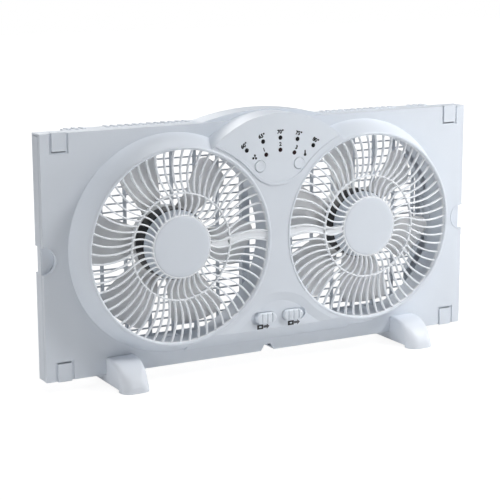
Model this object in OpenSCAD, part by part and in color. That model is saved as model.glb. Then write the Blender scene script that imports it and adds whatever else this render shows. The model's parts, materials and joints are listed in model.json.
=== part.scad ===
// Twin window fan: two fans side by side in one slim housing that stands on two clip-on feet
// or sits in a sash window, with a side extender at each end.
// X runs to the viewer's right, Y to the back, Z up. The origin is on the floor, under the
// middle of the window flange. Sketches are drawn in X and Z; depths are Y values.

/* [Body] */
// Width over the closed side extenders
body_w = 597; // [590:1:640]
// Height of the flat front panel
panel_h = 295; // [291:1:320]
// Thickness of the window flange, front panel to rear edge
flange_d = 24; // [23:0.5:27]
// How far the edge lips of the front panel and of the rear flange reach into the flange
edge_lip = 5.8; // [5:0.1:6.5]
// Moulded wall thickness
wall = 2.4; // [2:0.1:2.8]
// Height of the front panel's bottom edge above the floor
foot_lift = 13; // [8:1:20]

/* [Fan rings] */
// Distance between the two fan axes
fan_pitch = 265.3; // [260:0.1:275]
// Height of the fan axes above the panel's bottom edge
fan_up = 152.4; // [148:0.1:160]
// Radius inside the lip of each ring
lip_r = 117.3; // [114:0.1:119]
// Width of the rounded lip
lip_w = 4; // [3:0.1:4.6]
// Radius of each ring where it meets the flat panel
ring_base_r = 134.8; // [130:0.1:138]
// How far the lip stands in front of the flat panel
ring_h = 31.2; // [28:0.1:36]

/* [Front grilles] */
// Radius of the solid centre disc
disc_r = 38.9; // [34:0.1:44]
// Radius of the middle ring
mid_ring_r = 65.1; // [58:0.1:72]
// Width of the middle ring
mid_ring_w = 2; // [1.5:0.1:3]
// Number of curved bars outside the middle ring
outer_bars = 60; // [40:1:72]
// Number of curved bars inside the middle ring
inner_bars = 40; // [28:1:48]
// Width of an outer bar
outer_bar_w = 2.4; // [1.8:0.1:3]
// Width of an inner bar
inner_bar_w = 2.2; // [1.8:0.1:3]
// Front-to-back depth of the bars
grille_t = 4; // [3:0.1:5]
// How far the bars lie behind the lip
grille_set = 2.7; // [2.5:0.1:5]
// How far an outer bar bows out of its chord
outer_bow = 4.8; // [2:0.1:7]
// How far an inner bar bows the other way
inner_bow = 3.1; // [1:0.1:5]
// Width of the wire channel that fills one cell
channel_w = 8.6; // [6:0.1:10]

/* [Motors] */
// Rear radius of the white motor cup
cup_r = 42.5; // [40:0.1:46]
// Depth of the motor cup
cup_d = 14; // [12:0.1:18]
// Radius of the black end bell behind the cup
bell_r = 43.5; // [42:0.1:48]
// Depth of the end bell
bell_d = 23.4; // [20:0.1:26]
// Radius of the stator inside the cup
stator_r = 33; // [28:0.1:34]
// Shaft radius
shaft_r = 3; // [2.5:0.1:4]

/* [Rotors] */
// Number of blades
blades = 6; // [3:1:8]
// Radius over the blade tips
rotor_r = 112; // [100:0.5:113]
// Radius of the hub
hub_r = 44; // [42:0.5:48]
// Depth of the hub
hub_d = 11.5; // [10:0.1:13]
// Angle that a blade covers, seen from the front
blade_span = 34; // [24:1:42]
// How far the blades reach in front of the hub
blade_reach = 10; // [4:0.5:12]
// Blade thickness
blade_t = 2; // [1.4:0.1:3]

/* [Rear housing] */
// How far the rear box stands behind the flange
box_d = 12; // [11:0.5:16]
// Width left between the rear box and each end of the body
box_inset = 40; // [38:1:46]
// Height of the box floor above the panel's bottom edge
box_up = 22; // [21.5:0.5:28]
// Width of the frame round the rear grille
frame_w = 6; // [5.5:0.1:9]
// Height of the crown above the panel's top edge
crown_h = 12; // [10:0.5:18]
// Radius of the crown's arch
crown_arc_r = 320; // [270:5:340]
// Spacing of the ribs on the top
rib_pitch = 9.5; // [8:0.5:12]
// Height of a rib
rib_h = 1.1; // [0.8:0.1:3]
// Spacing of the rear grille's flat bars
mesh_pitch = 10; // [8:0.5:14]
// Thickness of a flat bar
mesh_bar = 1.7; // [1.4:0.1:3]
// Spacing of the rear grille's upright bars
upright_pitch = 31.5; // [26:0.5:40]
// Thickness of an upright bar
upright_bar = 4; // [3:0.1:6]

/* [Control pod] */
// Radius of the pod's top arc
pod_r = 132; // [128:0.5:140]
// Height of the pod's top above the panel's top edge
pod_over = 10.6; // [9:0.1:12]
// Gap between the lip's inner edge and the side of the pod's face
pod_side = 11.7; // [10:0.1:13]
// Radius of the pod's rounded bottom
pod_foot_r = 46; // [40:0.5:52]
// Width of the raised rim round the pod's face
rim_w = 3.8; // [2.5:0.1:4]
// Thickness of the control panel
face_t = 1.6; // [1.2:0.1:2]
// Radius of an indicator light
led_r = 2.2; // [1.5:0.1:2.5]
// Radius of a button
button_r = 7.2; // [6:0.1:7.6]
// Distance between the two buttons
button_pitch = 54.8; // [50:0.1:58]
// Travel of a button
button_travel = 1.5; // [1:0.1:1.8]

/* [Airflow switches] */
// Radius of the arch over the switch alcove
arch_r = 60; // [56:0.5:64]
// Width of the alcove's sloped edge
arch_slope = 11; // [6:0.5:12]
// Depth of the alcove
alcove_d = 2.4; // [1.5:0.1:2.6]
// Length of a switch slot
slot_l = 34; // [28:0.5:37]
// Height of a switch slot
slot_w = 15; // [12:0.5:16]
// Distance between the two slots
slot_pitch = 44; // [40:0.5:50]
// Height of the slots above the panel's bottom edge
slot_up = 51.1; // [50:0.1:55]
// Travel of a switch knob
knob_travel = 6; // [3:0.1:7]

/* [Side extenders] */
// Half height of the opening that clears the rotor
extender_r = 118; // [115:0.5:119]
// Distance that an arm reaches past the fan axis
arm_past = 12; // [6:1:20]
// Travel of a side extender
extender_travel = 40; // [20:1:44]
// Radius of the finger notches
notch_r = 16; // [14:0.1:19]
// Height of the finger notches above the panel's bottom edge
notch_up = 146; // [120:1:170]
// Width of a corner clip
clip_w = 17.5; // [16:0.5:26]
// Height of a corner clip
clip_h = 21; // [16:0.5:28]
// Distance from a corner clip to the end of the body
clip_in = 14.5; // [11:0.5:18]

/* [Feet] */
// Length of a foot, front to back
foot_l = 128; // [110:1:140]
// Width of a foot
foot_w = 37; // [28:1:40]
// Distance from the middle of a foot to the end of the body
foot_in = 94.5; // [88:0.5:110]
// Height of the foot's cheeks on the panel
foot_grip = 21; // [14:0.5:21]

/* [Fits] */
// Clearance where a piece slides or turns
slide_gap = 0.3; // [0.2:0.05:0.5]
// Clearance round a seated piece
seat_gap = 0.1; // [0.05:0.05:0.2]
// Clearance round a shaft or a screw in its hole
bore_gap = 0.05; // [0.03:0.01:0.1]

/* [Hidden] */
$fn = 96;
LEFT = -1;
RIGHT = 1;

// Places that everything shares. A name with "depth" counts from the flange's middle to the front.
half_w = body_w / 2;
panel_depth = flange_d / 2;
lip_end = panel_depth - edge_lip;
rear_y = panel_depth + box_d;
sill_z = foot_lift;
top_z = sill_z + panel_h;
fan_x = fan_pitch / 2;
fan_z = sill_z + fan_up;
lip_depth = panel_depth + ring_h;
face_depth = lip_depth - lip_w / 2;
duct_r = lip_r + 1.8;
duct_out_r = duct_r + wall;
ring_out_r = max(lip_r + lip_w, duct_out_r) + 0.1;
core_depth = lip_depth - 0.8;

// Depths inside the centre body
pocket_depth = core_depth + 0.2 - face_t;
alcove_depth = core_depth - alcove_d;
core_in_depth = alcove_depth - wall;
core_low = 15.5;
core_slope = 0.76;

// Front grilles, behind the lips
grille_depth = lip_depth - grille_set;
grille_back = grille_depth - grille_t;
seat_depth = face_depth - 0.3;
cap_recess = 0.8;
cap_t = 1.4;
cap_r = disc_r - 2;
cap_peg_r = 2;
cap_peg_in = 12;
channel_back = grille_back - 5.5;
nub_w = 12;

// Fasteners
screw_r = 1.5;
head_r = 3.1;
head_t = 1.8;
head_gap = 0.3;

// Motors
cup_front = grille_back - seat_gap;
cup_back = cup_front - cup_d;
cup_front_r = disc_r - 1.4;
bell_front = cup_back - seat_gap;
bell_back = bell_front - bell_d;
stator_front = cup_front - 8;
stator_in_r = 17;
bell_floor = 4.4;
stack_d = 8;
core_rotor_r = stator_in_r - 0.6;
mount_screw_r = 28;
mount_seat = grille_depth - cap_recess - 2.1;
mount_screw_l = 7;
bell_screw_r = stator_r + 5.2;
bell_seat = bell_back + 2.4;
bell_screw_grip = 5;
bell_screw_l = cup_back + bell_screw_grip - bell_seat;
bearing_r = shaft_r + 3;
bearing_l = 6;
bearing_web = 1.5;
shaft_front = cup_front - bearing_web - 0.5;
peg_angles = [30, 150, 270];
screw_angles = [90, 210, 330];

// Rotors
hub_y = 1.5 - bell_back;
hub_back_y = hub_y + hub_d;
hub_skin = 2;
boss_hub_r = 9;
nut_r = 8.5;
nut_t = 3.8;
shaft_end_y = hub_back_y + 2.6;
blade_clear_r = 46;
blade_corner = 14;
blade_rows = [hub_r - 2, blade_clear_r, 52, 60, 70, 84, rotor_r - blade_corner,
  rotor_r - blade_corner * 0.45, rotor_r - blade_corner * 0.13, rotor_r];
blade_cols = 8;

// Rear box
box_x = half_w - box_inset;
box_z = sill_z + box_up;
window_x = box_x - wall - frame_w;
window_z0 = box_z + wall + frame_w;
window_z1 = top_z - wall - frame_w;
ledge_w = frame_w - 2.6;
ledge_t = wall / 2;
mullion_x = 16;
mullion_w = 11;
mullion_y = rear_y - 8.5;
mullion_back_y = rear_y - 3.2;
bar_front_y = mullion_back_y + 0.2;
rib_half_w = 3;
rib_top_half_w = 2;
inner_rib_x = 70;
shroud_x = fan_x + 90;
shroud_back_y = panel_depth + 4;
slit_l = 61;
slit_w = 3;

// Extenders, between the two edge lips
layer = lip_end - slide_gap;
strip_x = fan_x + extender_r;
arm_end_x = fan_x - arm_past;
peg_r = 2.5;
edge_groove = 1.2;
top_gap = 0.8;
peg_place = [arm_end_x + extender_travel + 14, sill_z + 12];

// Control pod
pod_cz = top_z + pod_over - pod_r;
pod_side_r = lip_r + pod_side;
pod_foot_z = fan_z + sqrt(pow(pod_side_r + pod_foot_r, 2) - pow(fan_x, 2));
light_x = 0.9;
light_z = pod_cz + 101.6;
light_arc_r = 93.4;
light_step = 15;
speed_light_z = light_z - 14.9;
speed_arc_r = 44.3;
speed_step = 26.5;
button_z = pod_cz + 68.4;
board_t = 1.6;
board_depth = core_in_depth - 8;
flange_t = 1.2;
flange_over = 1.4;
stem_r = 2.5;
tact_w = 6;
tact_t = 3.2;
plunger_r = 1.6;
plunger_l = 1;
panel_back = pocket_depth + seat_gap;
board_post_x = 62;
board_post_up = 94.4;
board_post_drop = 36.5;
board_posts = [[-board_post_x, pod_cz + board_post_up], [board_post_x, pod_cz + board_post_up],
  [0, pod_foot_z - board_post_drop]];
board_post_r = 3.5;

// Switch alcove
arch_side_r = lip_r + 8.7;
arch_z = fan_z - sqrt(pow(arch_side_r + arch_r, 2) - pow(fan_x, 2));
slot_z = sill_z + slot_up;
knob_l = slot_l - knob_travel - 2 * slide_gap;
knob_w = slot_w - 2.4;
knob_front = core_depth + 1.8;
groove_pitch = 5.6;
stem_l = 5;
stem_w = 4;
stem_in = 2.4;
switch_l = slot_l + 3;
switch_h = slot_w + 5;
switch_d = 10;
switch_front = core_in_depth - seat_gap;
hook_w = 8;
hook_t = 2;

// Posts that join the two shells, as [x, z]
edge_posts = [for (x = [-fan_x + 30, fan_x - 30], z = [sill_z + 12, top_z - 8.4]) [x, z]];
core_posts = [for (x = [-mullion_x, mullion_x], z = [fan_z - 56, fan_z + 57]) [x, z]];
post_r = 4;
boss_r = 5;
screw_seat_y = 1;
core_screw_reach = 10.8;
edge_screw_stop = 1.4;
grille_posts = [for (x = [-mullion_x, mullion_x], z = [window_z0 + 24, window_z1 - 24]) [x, z]];
grille_screw_l = 9;
grille_screw_y = rear_y - 2;

// Corner clips, cord notch and gland
clip_sink = 1;
clip_proud = 0.6;
clip_margin = 3;
clip_slit = 1.4;
notch_w = 19;
notch_top_w = 9;
notch_h = 8;
cord_r = 3.2;
gland_r = cord_r + 1;
gland_lip = 0.5;
gland_lip_t = 1.4;
gland_y = (panel_depth + rear_y - wall) / 2;

// Feet
foot_top = sill_z + foot_grip;
nose_r = foot_top - 2;
toe_corner_r = 9;
arch_h = 3;
sole_l = 18;
core_y = 16;
core_top = 8;

white = [0.86, 0.89, 0.93];
bar_white = [0.9, 0.92, 0.95];
blade_grey = [0.72, 0.74, 0.77];
black = [0.07, 0.07, 0.08];
steel = [0.75, 0.76, 0.78];
bronze = [0.72, 0.55, 0.3];

function polar(r, a) = [r * cos(a), r * sin(a)];
function bevel_r(d) = ring_base_r
  - (d - panel_depth) * (ring_base_r - ring_out_r) / (face_depth - panel_depth);
// Places on an arc, counted from its top in equal angles to both sides
function arc_spots(top, r, turn, n) =
  [for (i = [-n:n]) [light_x + r * sin(turn * i), top - r * (1 - cos(turn * i))]];
function temperature_spots() = arc_spots(light_z, light_arc_r, light_step, 2);
function speed_spots() = arc_spots(speed_light_z, speed_arc_r, speed_step, 1);
function button_spot(s) = [s * button_pitch / 2, button_z];

// ---------------------------------------------------------------- shared forms

// A sketch in X and Z, made solid between two Y values
module slab(y_back, y_front) {
  translate([0, y_back, 0]) rotate([90, 0, 0]) linear_extrude(y_back - y_front) children();
}

// A turned form on a fan's axis, with its Z pointing to the front
module at_fan(s) {
  translate([s * fan_x, 0, fan_z]) rotate([90, 0, 0]) children();
}

// A round pin or hole at [x, z], between two depths
module pin(p, r, from, to) {
  translate([p[0], -min(from, to), p[1]]) rotate([90, 0, 0]) cylinder(h = abs(to - from), r = r);
}

// A tube wall or a stack of steps on a fan's axis: each step is [radius, from depth, to depth]
module step(r, from, to) {
  translate([0, 0, from]) cylinder(h = to - from, r = r);
}

module disc2d(p, r) {
  translate(p) circle(r);
}

module ring2d(p, r_in, r_out) {
  difference() {
    disc2d(p, r_out);
    disc2d(p, r_in);
  }
}

module box2d(x0, z0, x1, z1) {
  translate([min(x0, x1), z0]) square([abs(x1 - x0), z1 - z0]);
}

module obround2d(p, l, w) {
  translate(p) {
    square([l - w, w], center = true);
    for (s = [-1, 1]) translate([s * (l - w) / 2, 0]) circle(w / 2);
  }
}

module panel2d(inset = 0) {
  box2d(-half_w + inset, sill_z + inset, half_w - inset, top_z - inset);
}

module finger_notches2d(grow = 0) {
  for (s = [-1, 1]) disc2d([s * half_w, sill_z + notch_up], notch_r + grow);
}

module cord_notch2d() {
  polygon([[-notch_w / 2, sill_z - 1], [-notch_w / 2, sill_z], [-notch_top_w / 2, sill_z + notch_h],
    [notch_top_w / 2, sill_z + notch_h], [notch_w / 2, sill_z], [notch_w / 2, sill_z - 1]]);
}

// A pan-head screw with a cross in its head, from the depth of the head's seat to the tip
module screw(p, seat, tip) {
  turn = sign(tip - seat);
  top = seat - turn * head_t;
  color(steel) difference() {
    union() {
      pin(p, head_r, top, seat);
      pin(p, screw_r, seat - turn * 0.2, tip);
    }
    for (l = [[0.4, 1.8], [1.8, 0.4]])
      slab(-min(top - turn, top + turn * 0.9), -max(top - turn, top + turn * 0.9))
        box2d(p[0] - l[0], p[1] - l[1], p[0] + l[0], p[1] + l[1]);
  }
}

// Places on a circle round a fan's axis, as [x, z]
function round_fan(s, r, angles) = [for (a = angles) [s * fan_x + r * cos(a), fan_z + r * sin(a)]];

// ---------------------------------------------------------------- front bezel

// The pod's outline: a top arc, sides concentric with the rings and a rounded bottom that runs into them
module pod2d(grow, top) {
  intersection() {
    disc2d([0, pod_cz], pod_r + top);
    difference() {
      union() {
        disc2d([0, pod_foot_z], pod_foot_r + grow);
        polygon([[-fan_x, fan_z], [0, pod_foot_z], [fan_x, fan_z], [fan_x, top_z + 40],
          [-fan_x, top_z + 40]]);
      }
      for (s = [-1, 1]) disc2d([s * fan_x, fan_z], pod_side_r - grow);
    }
  }
}

// The body that joins the two rings: the pod above, the waist and the switch alcove below
module core2d(inset) {
  difference() {
    union() {
      intersection() {
        disc2d([0, pod_cz], pod_r - inset);
        box2d(-fan_x, fan_z, fan_x, top_z + 40);
      }
      box2d(-fan_x + 15 + inset, sill_z, fan_x - 15 - inset, fan_z + 1);
    }
    for (s = [-1, 1]) disc2d([s * fan_x, fan_z], lip_r + lip_w - 0.8);
  }
}

// The centre body between two depths, cut by the bevel along its bottom edge
module core(inset, from, front) {
  low = sill_z + core_low + inset;
  rise = (front - panel_depth) * core_slope;
  intersection() {
    slab(-from, -front) core2d(inset);
    translate([-fan_x, 0, 0]) rotate([90, 0, 90]) linear_extrude(2 * fan_x)
      polygon([[1, low], [-panel_depth, low], [-front - 1, low + rise], [-front - 1, top_z + 40],
        [1, top_z + 40]]);
  }
}

// Shallow scoop with a sloped edge: an arch over the switches that runs out along both rings
module alcove() {
  over = 0.5;
  flare = over * arch_slope / alcove_d;
  translate([0, -alcove_depth, 0]) rotate([90, 0, 0]) difference() {
    union() {
      translate([0, arch_z, 0]) cylinder(h = alcove_d + over, r1 = arch_r - arch_slope, r2 = arch_r + flare);
      linear_extrude(alcove_d + over)
        polygon([[-fan_x, fan_z], [0, arch_z], [fan_x, fan_z], [fan_x, sill_z], [-fan_x, sill_z]]);
    }
    for (s = [-1, 1]) translate([s * fan_x, fan_z, -0.01])
      cylinder(h = alcove_d + over + 0.02, r1 = arch_side_r + arch_slope, r2 = arch_side_r - flare);
  }
}

// Half-round lip on top of each ring, flat where the grille seats behind it
module lip_bead() {
  translate([0, 0, seat_depth]) rotate_extrude() translate([lip_r + lip_w / 2, 0]) intersection() {
    translate([0, face_depth - seat_depth]) circle(lip_w / 2);
    translate([-lip_w / 2, 0]) square(lip_w);
  }
}

module front_bezel() {
  hollow_front = face_depth - wall;
  color(white) {
    for (s = [-1, 1]) at_fan(s) {
      lip_bead();
      // snap nubs behind the grille's seat ring
      for (a = [30:60:330]) rotate(a) translate([duct_r - 0.9, -nub_w / 2, grille_back - 1.3])
        cube([1.5, nub_w, 1.2]);
    }
    difference() {
    union() {
      difference() {
        union() {
          // flat panel with its edge lip and the walls of the finger notches
          slab(-panel_depth + wall, -panel_depth) panel2d();
          slab(-lip_end, -panel_depth + 0.5) difference() {
            panel2d();
            panel2d(wall);
          }
          slab(-lip_end, -panel_depth - 0.5) intersection() {
            panel2d();
            finger_notches2d(wall * 0.7);
          }
          // rings and the centre body
          for (s = [-1, 1]) at_fan(s) translate([0, 0, panel_depth - 0.5])
            cylinder(h = face_depth - panel_depth + 0.5, r1 = bevel_r(panel_depth - 0.5),
              r2 = bevel_r(face_depth));
          core(0, lip_end, core_depth);
          // raised rim at the sides and the bottom of the pod
          slab(-core_depth + 0.2, -core_depth - 1) difference() {
            pod2d(rim_w, 0);
            pod2d(seat_gap, 20);
          }
        }
        // hollow behind the bevels and the centre body
        for (s = [-1, 1]) at_fan(s) translate([0, 0, lip_end - 1])
          cylinder(h = hollow_front - lip_end + 1,
            r1 = bevel_r(lip_end - 1) - wall * 1.1, r2 = bevel_r(hollow_front) - wall * 1.1);
        core(wall, lip_end - 1, core_in_depth);
        // pocket for the control panel, and the switch alcove
        slab(-pocket_depth, -core_depth - 3) pod2d(seat_gap, 5);
        alcove();
      }
      // duct walls, and posts for the screws
      for (s = [-1, 1]) at_fan(s) step(duct_out_r, lip_end, face_depth - 0.5);
      for (p = core_posts) pin(p, post_r, lip_end, core_in_depth + 0.5);
      for (p = edge_posts) pin(p, post_r, lip_end, panel_depth - 0.5);
      for (p = board_posts) pin(p, board_post_r, board_depth, core_in_depth + 0.5);
      // snap hooks behind each airflow switch
      for (s = [-1, 1], e = [-1, 1]) {
        root = slot_z + e * (switch_h / 2 + seat_gap);
        back = switch_front - switch_d - seat_gap - hook_t;
        side = s * slot_pitch / 2;
        slab(-back, -core_in_depth - 0.5) box2d(side - hook_w / 2, min(root, root + e * hook_t),
          side + hook_w / 2, max(root, root + e * hook_t));
        slab(-back, -back - hook_t) box2d(side - hook_w / 2, root - 1, side + hook_w / 2, root + 1);
      }
    }
    for (s = [-1, 1]) at_fan(s) step(duct_r, 0, lip_depth + 1);
    // holes for the screws, lights, buttons and switch knobs
    for (p = core_posts) pin(p, screw_r + bore_gap, lip_end - 1, lip_end + 12);
    for (p = edge_posts) pin(p, screw_r + bore_gap, lip_end - 1, panel_depth - 1);
    for (p = board_posts) pin(p, screw_r + bore_gap, board_depth - 1, board_depth + 7);
    for (p = concat(temperature_spots(), speed_spots()))
      pin(p, led_r + slide_gap, core_in_depth - 1, core_depth);
    for (s = [-1, 1])
      pin(button_spot(s), button_r + flange_over + 2 * slide_gap, core_in_depth - 1, core_depth);
    slab(-core_in_depth + 1, -core_depth) for (s = [-1, 1])
      obround2d([s * slot_pitch / 2, slot_z], slot_l, slot_w);
    // a way for the motor leads through each duct wall
    for (s = [-1, 1]) slab(-channel_back, -grille_back)
      box2d(s * (fan_x - lip_r - 6), fan_z - 0.5, s * (fan_x - lip_r), fan_z + 5.5);
    // edge notches, and a recess round each corner clip with a slit under its inner end
    slab(0, -lip_depth) {
      finger_notches2d();
      cord_notch2d();
    }
    for (x = [-1, 1], z = [-1, 1]) {
      slab(-panel_depth + clip_sink, -panel_depth - 1) clip2d(x, z, clip_margin);
      slit = z < 0 ? sill_z + clip_h : top_z - clip_h - clip_slit;
      slab(-panel_depth + wall + 1, -panel_depth)
        box2d(x * (half_w - clip_in), slit, x * (half_w - clip_in - clip_w), slit + clip_slit);
    }
    }
  }
}

// Outline of a corner clip, or of its recess, from the panel's edge inwards
module clip2d(x, z, margin) {
  edge = z < 0 ? sill_z : top_z;
  inner = edge - z * (clip_h + margin);
  box2d(x * (half_w - clip_in + margin), min(edge + z, inner),
    x * (half_w - clip_in - clip_w - margin), max(edge + z, inner));
}

module corner_clips() {
  face = panel_depth + clip_proud;
  color(white) for (x = [-1, 1], z = [-1, 1]) {
    slab(-panel_depth + clip_sink - seat_gap, -face) clip2d(x, z, 0);
    slab(-lip_end, -face) intersection() {
      clip2d(x, z, 0);
      box2d(-half_w, z < 0 ? 0 : top_z + seat_gap, half_w, z < 0 ? sill_z - seat_gap : top_z + 9);
    }
  }
}

// ---------------------------------------------------------------- rear housing

module crown2d(inset, low) {
  intersection() {
    disc2d([0, top_z + crown_h - crown_arc_r], crown_arc_r - inset);
    box2d(-crown_arc_r, low, crown_arc_r, top_z + crown_h);
  }
}

// Places of the ribs on the roof, measured from the middle
function rib_places() = concat([for (i = [0:2]) box_x - 2 * rib_half_w - i * rib_pitch],
  [for (i = [0:11]) fan_x + inner_rib_x - i * rib_pitch]);

module roof2d() {
  box2d(-half_w, top_z - wall, half_w, top_z);
  crown2d(0, top_z - 1);
}

module ribs2d() {
  for (s = [-1, 1], x = rib_places()) translate([s * x, top_z]) polygon([[-rib_half_w, -0.5],
    [rib_half_w, -0.5], [rib_top_half_w, rib_h], [-rib_top_half_w, rib_h]]);
}

module window2d(grow) {
  box2d(-window_x - grow, window_z0 - grow, window_x + grow, window_z1 + grow);
}

module rear_housing() {
  color(white) difference() {
    union() {
      difference() {
        union() {
          // roof with its ribs and crown, box, flange with its edge lip, and bottom rail
          slab(rear_y, -layer) roof2d();
          slab(rear_y, panel_depth - 2) ribs2d();
          slab(rear_y, panel_depth - 1) box2d(-box_x, box_z, box_x, top_z - 1);
          slab(panel_depth, panel_depth - wall) panel2d();
          slab(panel_depth - 0.5, lip_end) difference() {
            panel2d();
            panel2d(wall);
          }
          slab(panel_depth + 0.5, lip_end) intersection() {
            panel2d();
            finger_notches2d(wall * 0.7);
          }
          slab(panel_depth - 0.5, -layer) box2d(-half_w, sill_z, half_w, sill_z + wall);
        }
        // inside of the box and of the crown, window for the rear grille and its ledge
        slab(rear_y - wall, panel_depth - wall - 1)
          box2d(-box_x + wall, box_z + wall, box_x - wall, top_z - wall);
        slab(rear_y - wall, -layer + wall) crown2d(wall, top_z - wall - 1);
        slab(rear_y + 1, panel_depth) window2d(0);
        slab(rear_y + 1, rear_y - ledge_t) window2d(ledge_w);
        slab(rear_y + 1, panel_depth) for (s = [-1, 1])
          box2d(s * box_x, top_z - wall - 1, s * (half_w + 1), top_z + rib_h + 1);
      }
      // mullions, and the bosses that they and the roof carry
      slab(mullion_back_y, mullion_y) for (s = [-1, 1])
        box2d(s * mullion_x - mullion_w / 2, box_z + 1, s * mullion_x + mullion_w / 2, top_z - 1);
      for (p = core_posts) pin(p, boss_r, -mullion_back_y + 1, layer);
      for (p = edge_posts) pin(p, boss_r, -panel_depth, layer);
      for (p = grille_posts) pin(p, boss_r, -mullion_back_y + 1, -panel_depth + 0.5);
      slab(panel_depth - 0.5, -layer + 1) for (p = edge_posts) if (p[1] > fan_z)
        box2d(p[0] - wall / 2, p[1], p[0] + wall / 2, top_z - 1);
      // stop pegs of the side extenders
      for (s = [-1, 1]) pin([s * peg_place[0], peg_place[1]], peg_r, -panel_depth + 1, layer - 2);
      shroud_lips();
    }
    // holes for the screws, the cord gland and the notches
    for (p = concat(core_posts, edge_posts)) {
      pin(p, screw_r + head_gap, -screw_seat_y - 1, layer + 1);
      pin(p, head_r + head_gap, -rear_y - 1, -screw_seat_y);
    }
    for (p = grille_posts) pin(p, screw_r + bore_gap, -rear_y, -grille_screw_y + grille_screw_l + 0.6);
    translate([0, gland_y, box_z - 1]) cylinder(h = wall + 2, r = gland_r + seat_gap);
    slab(panel_depth + 1, -layer - 1) {
      finger_notches2d();
      cord_notch2d();
    }
  }
}

// Partial ring that guides the air round the outer side of each rotor. It has a slit and stands on
// a web behind the flange.
module shroud_lips() {
  for (s = [-1, 1]) {
    slab(panel_depth, panel_depth - wall) difference() {
      box2d(s * shroud_x, box_z + 1, s * (box_x - 1), top_z - 1);
      disc2d([s * fan_x, fan_z], extender_r + wall / 2);
    }
    difference() {
      slab(shroud_back_y, lip_end) intersection() {
        ring2d([s * fan_x, fan_z], extender_r, extender_r + wall);
        box2d(s * (shroud_x + 0.5), sill_z, s * half_w, top_z);
      }
      slab(lip_end + 0.9 + slit_w, lip_end + 0.9)
        box2d(s * (fan_x + 100), fan_z - slit_l / 2, s * half_w, fan_z + slit_l / 2);
    }
  }
}

// ---------------------------------------------------------------- rear grille

module rear_grille() {
  edge = ledge_w - seat_gap;
  color(white) difference() {
    union() {
      slab(rear_y - 0.3, bar_front_y) intersection() {
        window2d(-slide_gap);
        union() {
          for (z = [window_z0 + mesh_pitch:mesh_pitch:window_z1])
            box2d(-window_x, z - mesh_bar / 2, window_x, z + mesh_bar / 2);
          for (s = [-1, 1], x = [mullion_x + mullion_w / 2 + upright_pitch:upright_pitch:window_x])
            box2d(s * x - upright_bar / 2, window_z0, s * x + upright_bar / 2, window_z1);
        }
      }
      // border in the ledge, and strips over the mullions
      slab(rear_y, rear_y - ledge_t + seat_gap) difference() {
        window2d(edge);
        window2d(-2.4);
      }
      slab(rear_y - 0.1, mullion_back_y + seat_gap) for (s = [-1, 1])
        box2d(s * mullion_x - mullion_w / 2, window_z0 + slide_gap, s * mullion_x + mullion_w / 2,
          window_z1 - slide_gap);
    }
    for (p = grille_posts) {
      pin(p, screw_r + head_gap, -rear_y, -panel_depth);
      pin(p, head_r + head_gap, -rear_y - 1, -grille_screw_y);
    }
  }
}

// ---------------------------------------------------------------- front grilles

function arc_r(c, s) = (c * c / 4 + s * s) / (2 * s);

// Curved bar between two points, bowed by a sagitta to the left of its direction
module arc_bar(a, b, sag, w) {
  chord = norm(b - a);
  r = arc_r(chord, abs(sag));
  n = sign(sag) * [-(b - a)[1], (b - a)[0]] / chord;
  half = asin(chord / 2 / r);
  reach = 1.6 * r;
  translate((a + b) / 2 - n * (r - abs(sag))) rotate(atan2(n[1], n[0])) intersection() {
    ring2d([0, 0], r - w / 2, r + w / 2);
    polygon([[0, 0], [reach * cos(half), -reach * sin(half)], [reach * cos(half), reach * sin(half)]]);
  }
}

// One bar outside the middle ring and one inside it, turned from the horizontal by an angle
module outer_bar(turn, w) {
  rotate(turn) arc_bar(polar(mid_ring_r, 2), polar(lip_r + 0.6, 4.2), outer_bow, w);
}

module inner_bar(turn, w) {
  rotate(turn) arc_bar(polar(disc_r - 0.9, -3), polar(mid_ring_r, -3.4), -inner_bow, w);
}

// The cell for the wires lies half a pitch before the first bars
module channel2d(w) {
  intersection() {
    outer_bar(-180 / outer_bars, w);
    circle(lip_r + 1.2);
  }
  inner_bar(180 / inner_bars, w);
}

module front_grille(s) {
  color(bar_white) at_fan(s) mirror([s > 0 ? 1 : 0, 0, 0]) difference() {
    union() {
      translate([0, 0, grille_back]) linear_extrude(grille_t) {
        circle(disc_r);
        ring2d([0, 0], lip_r - 0.3, duct_r - slide_gap);
        ring2d([0, 0], mid_ring_r - mid_ring_w / 2, mid_ring_r + mid_ring_w / 2);
        for (i = [0:outer_bars - 1]) outer_bar(i * 360 / outer_bars, outer_bar_w);
        for (i = [0:inner_bars - 1]) inner_bar(i * 360 / inner_bars, inner_bar_w);
        channel2d(channel_w);
      }
      // seat ring behind the lip, and the channel for the motor leads
      translate([0, 0, grille_depth - 0.5]) linear_extrude(seat_depth - seat_gap - grille_depth + 0.5)
        ring2d([0, 0], lip_r + 0.2, duct_r - slide_gap - 0.1);
      translate([0, 0, channel_back]) linear_extrude(grille_back + 0.5 - channel_back) difference() {
        channel2d(channel_w - 0.4);
        channel2d(channel_w - 3);
        circle(disc_r + 1.6);
      }
    }
    translate([0, 0, grille_depth - cap_recess]) cylinder(h = 2, r = cap_r + seat_gap);
    for (a = screw_angles) rotate(a) translate([mount_screw_r, 0, 0]) {
      step(screw_r + head_gap, grille_back - 1, grille_depth);
      step(head_r + head_gap, mount_seat, grille_depth + 1);
    }
    for (a = peg_angles) rotate(a) translate([cap_r - cap_peg_in, 0, 0])
      step(cap_peg_r + bore_gap, grille_back - 1, grille_depth);
  }
}

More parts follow.
